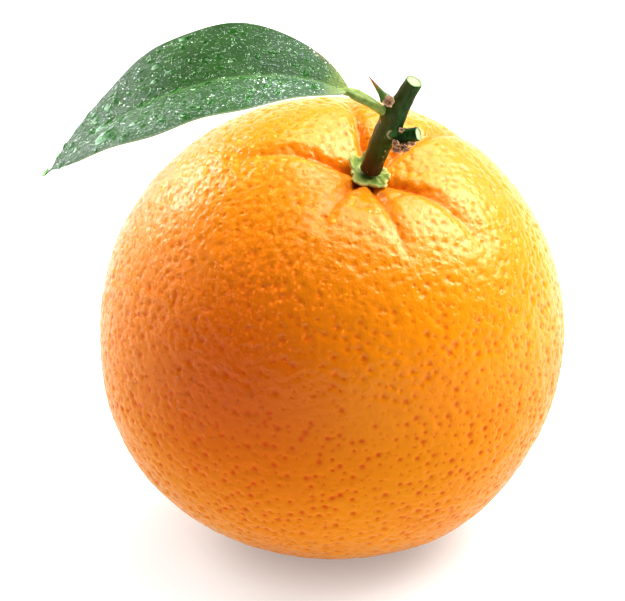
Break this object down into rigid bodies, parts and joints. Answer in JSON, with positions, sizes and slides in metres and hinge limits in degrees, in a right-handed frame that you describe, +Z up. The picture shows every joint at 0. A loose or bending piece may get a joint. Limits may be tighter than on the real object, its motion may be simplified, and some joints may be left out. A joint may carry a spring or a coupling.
{
  "type": "orange",
  "caption": "Fresh sweet orange with creased shoulders, its calyx, a short cut stem with a thorn, and a leaf on its stalk.",
  "frame": {"origin": "centre of the small flat spot that the fruit rests on", "axes": "+Z up from the resting surface; -Y to the front, where the stem axis tips forward; the leaf reaches to -X and the side shoot points to +X"},
  "size_m": [0.087, 0.08, 0.093],
  "materials": {
    "peel": "waxy orange peel with oil-gland pores",
    "calyx": "matt green with a pale corky rim",
    "bark": "smooth green young bark with pale flecks",
    "bud_scales": "dry brown scales",
    "thorn": "smooth, green with an orange-brown tip",
    "leaf_stalk": "smooth pale green",
    "leaf": "waxy green, wet"
  },
  "bodies": {
    "root": {"fruit": "peel", "calyx": "calyx", "stem": "bark", "side_shoot_stub": "bark", "side_shoot_buds": "bud_scales", "thorn": "thorn", "leaf_axil_bud": "bud_scales", "leaf_stalk": "leaf_stalk", "leaf_blade": "leaf"}
  },
  "joints": []
}
